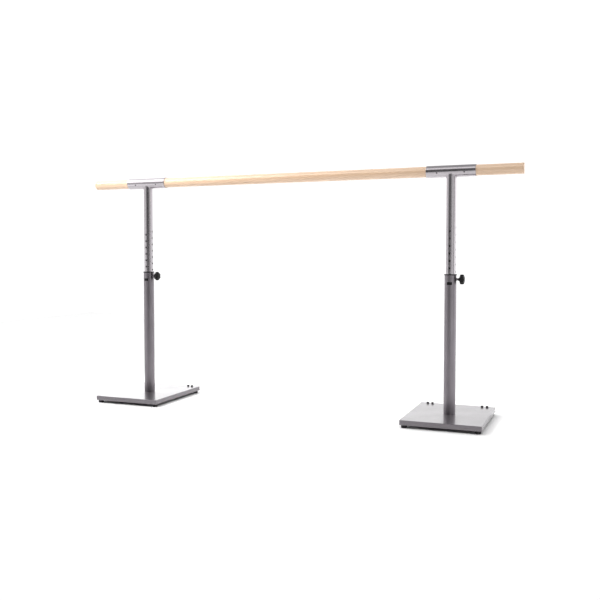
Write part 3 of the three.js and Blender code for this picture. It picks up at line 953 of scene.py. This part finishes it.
def make_sleeve():
    """Bright sleeve round the rail, welded on its post, with two grub screws in front."""
    low, high = on_stand("rail_sleeve")
    half, outer = (high.x - low.x) / 2, (high.z - low.z) / 2
    inner = outer - 2.1
    axis_height = (low.z + high.z) / 2
    body = turned(softened([(inner, -half), (outer, -half), (outer, half), (inner, half)], 0.6, 4), 160)
    out = grub_direction()
    to_screw = turn_to(ALONG_X.inverted() @ out)
    screws, drills = {}, []
    for name in ("grub_screw_1", "grub_screw_2"):
        grub_low, grub_high = on_stand(name)
        screws[name] = (grub_low.x + grub_high.x) / 2
        matrix = Matrix.Translation((0, 0, screws[name])) @ to_screw
        drills.append(moved(drill(GRUB_RADIUS + 0.05, inner / 2, outer), matrix))
    mesh = mesh_from(cut(body, *drills), "rail_sleeve", walls=(inner, outer))
    place_on_stands(mesh, "rail_sleeve", "polished_steel", ALONG_X, (0, 0, axis_height))
    make_grub_screws(screws, turn_to(out), axis_height, outer)


def make_grub_screws(screws, turn, axis_height, sleeve_radius):
    """Hexagon-socket screws that stand just proud of the sleeve. screws gives each one's place along it."""
    start, end = sleeve_radius - 2.4, sleeve_radius + 0.6
    tip, edge, socket, socket_depth = 0.8, 0.4, 1.6, 1.8
    outline = [
        (0, start), (GRUB_RADIUS - tip, start), (GRUB_RADIUS, start + tip), (GRUB_RADIUS, end - edge),
        (GRUB_RADIUS - edge, end), (0, end),
    ]
    screw = cut(turned(outline, 36), hexagon(socket, end - socket_depth, end + 1))
    mesh = mesh_from(screw, "grub_screw", sharp=30)
    for name, along in screws.items():
        place_on_stands(mesh, name, "black_steel", turn, (along, 0, axis_height))


def make_sleeve_welds():
    """The fillet of weld where each post meets its sleeve."""
    low, high = on_stand("rail_sleeve")
    sleeve = (high.z - low.z) / 2
    axis_height = (low.z + high.z) / 2
    steps, ripples, ripple_depth, bead, outset = 360, 60, 0.06, 1.3, 0.2
    radius = on_stand("upper_post")[1].x + outset
    path = []
    for k in range(steps):
        turn = 2 * math.pi * k / steps
        x, y = radius * math.cos(turn), radius * math.sin(turn)
        path.append(Vector((x, y, axis_height - math.sqrt(sleeve ** 2 - y ** 2) - outset)))

    def width(k):
        return bead * (1 + ripple_depth * math.sin(2 * math.pi * ripples * k / steps))

    mesh = mesh_from(swept(path, width, closed=True, sides=12), "sleeve_weld", sharp=80)
    for side in SIDES:
        weld = place(mesh, side + "rail_sleeve", stand_origin(side), "polished_steel", replaces=False)
        weld.name = side + "sleeve_weld"


def make_rail():
    """Turned beech rail with rounded ends."""
    low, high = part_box("rail")
    half, radius, edge = (high.x - low.x) / 2 / MM, (high.z - low.z) / 2 / MM, 2.2
    end = [(0, -half), *arc(radius - edge, edge - half, edge, -90, 0, 6)]
    mesh = mesh_from(turned(mirrored_ends(end), 128), "rail", walls=(radius,))
    place(mesh, "rail", (low + high) / 2, "beech", ALONG_X)


# ---------------------------------------------------------------- studio


def make_floor():
    """A square of white paper."""
    half_width, white = 4.5, 0.93
    bm = bmesh.new()
    bmesh.ops.create_grid(bm, x_segments=4, y_segments=4, size=half_width)
    mesh = bpy.data.meshes.new("floor")
    bm.to_mesh(mesh)
    bm.free()
    paper = Finish("floor_paper")
    tooth = paper.noise(paper.here(), 300.0, detail=3)
    paper.set(Base_Color=(white, white, white, 1), Roughness=0.9, Specular_IOR_Level=0.2)
    paper.bump(tooth, 0.0002, 0.2)
    mesh.materials.append(paper.material)
    floor = bpy.data.objects.new("floor", mesh)
    bpy.context.scene.collection.objects.link(floor)


def softbox(name, centre, target, width, height, radiance, mirrored, spread=180):
    """A rectangular light that faces a target. Places and sizes are in metres.

    A mirrored one only shows in reflections, and any other one never does.
    """
    data = bpy.data.lights.new(name, "AREA")
    data.shape = "RECTANGLE"
    data.size, data.size_y = width, height
    data.energy = radiance * math.pi * width * height
    data.spread = math.radians(spread)
    light = bpy.data.objects.new(name, data)
    light.location = centre
    light.rotation_euler = (Vector(target) - Vector(centre)).to_track_quat("-Z", "Y").to_euler()
    light.visible_camera = False
    light.visible_glossy = mirrored
    light.visible_diffuse = not mirrored
    bpy.context.scene.collection.objects.link(light)


# Each glow is followed by what is added to it towards the left.
BACKGROUND = 1.1
FRONT_GLOW, FRONT_ADDED = 0.11, 0.12
BACK_GLOW, BACK_ADDED = 1.4, 1.2
TOP_GLOW, TOP_ADDED = 0.45, 1.4


class Sky:
    """The world's node tree, with short calls to add nodes."""

    def __init__(self):
        world = bpy.data.worlds.new("studio")
        world.use_nodes = True
        bpy.context.scene.world = world
        self.tree = world.node_tree

    def node(self, kind, inputs, **settings):
        made = self.tree.nodes.new("ShaderNode" + kind)
        for key, value in settings.items():
            setattr(made, key, value)
        for key, value in inputs.items():
            if isinstance(value, bpy.types.NodeSocket):
                self.tree.links.new(value, made.inputs[key])
            else:
                made.inputs[key].default_value = value
        return made.outputs

    def ramp(self, value, low, high):
        """Goes smoothly from 0 to 1 as a value goes from low to high."""
        inputs = {"Value": value, "From Min": low, "From Max": high}
        return self.node("MapRange", inputs, interpolation_type="SMOOTHSTEP")[0]

    def scaled(self, value, factor, added):
        return self.node("Math", {0: value, 1: factor, 2: added}, operation="MULTIPLY_ADD")[0]

    def mix(self, share, a, b):
        """Goes from a to b as share goes from 0 to 1."""
        return self.node("Mix", {0: share, 2: a, 3: b})[0]


def make_world():
    """White all round for the camera. All else sees a studio that is dark in front and bright behind.

    across, depth and height are a direction's parts along X, Y and Z, from -1 to 1.
    """
    sky = Sky()
    way = sky.node("TexCoord", {})["Generated"]
    across, depth, height = sky.node("SeparateXYZ", {0: way})
    leftness = sky.ramp(across, -0.1, -0.9)
    front = sky.scaled(leftness, FRONT_ADDED, FRONT_GLOW)
    back = sky.scaled(leftness, BACK_ADDED, BACK_GLOW)
    top = sky.scaled(leftness, TOP_ADDED, TOP_GLOW)
    level = sky.mix(sky.ramp(depth, -0.15, 0.75), front, back)
    glow = sky.mix(sky.ramp(height, 0.42, 0.85), level, top)
    seen = sky.node("LightPath", {})["Is Camera Ray"]
    background = sky.tree.nodes["Background"]
    background.inputs["Color"].default_value = (1, 1, 1, 1)
    sky.tree.links.new(sky.mix(seen, glow, BACKGROUND), background.inputs["Strength"])


def make_lights():
    """Softboxes that the steel, paint and lacquer mirror, then the two lights that light surfaces."""
    left, right = (stand_origin(side).x for side in SIDES)
    for name, centre, target, width, height, radiance in (
        ("bank_right", (1.5, -0.6, 1.1), (right, 0, 1.0), 1.0, 2.4, 0.72),
        ("bank_left", (-2.1, -0.8, 1.2), (left, 0, 1.1), 1.5, 2.4, 0.9),
        ("high_left", (-2.0, -1.3, 2.8), (-0.8, 0, 1.0), 2.4, 1.8, 1.9),
        ("front_left", (-1.3, -1.6, 1.0), (left, 0, 1.0), 0.8, 2.2, 0.4),
        ("front_right", (1.07, -1.6, 1.0), (right, 0, 1.0), 0.5, 2.2, 0.35),
        ("edge_right", (1.75, 0.35, 0.9), (right, 0, 0.9), 0.8, 2.4, 0.8),
        ("high_front", (0.2, -1.6, 2.9), (0.2, 0, 1.0), 2.4, 1.2, 1.0),
    ):
        softbox(name, centre, target, width, height, radiance, mirrored=True)
    softbox("key_left", (-1.5, -1.5, 2.2), (-0.55, 0, 1.0), 0.8, 0.8, 6.0, mirrored=False, spread=80)
    softbox("overhead", (0, 1.5, 4.5), (0, 1.5, 0), 12.0, 12.0, 0.72, mirrored=False)


# ---------------------------------------------------------------- everything

bpy.context.scene.view_settings.view_transform = "Standard"
make_camera()
make_base_plate()
make_feet()
make_bolts()
make_wheel_brackets()
make_wheels()
make_lower_post()
make_post_fixing()
make_collar()
make_plunger_housing()
make_plunger_pin()
make_plunger_spring()
make_knob()
make_upper_post()
make_glide()
make_sleeve()
make_sleeve_welds()
make_rail()
make_floor()
make_world()
make_lights()
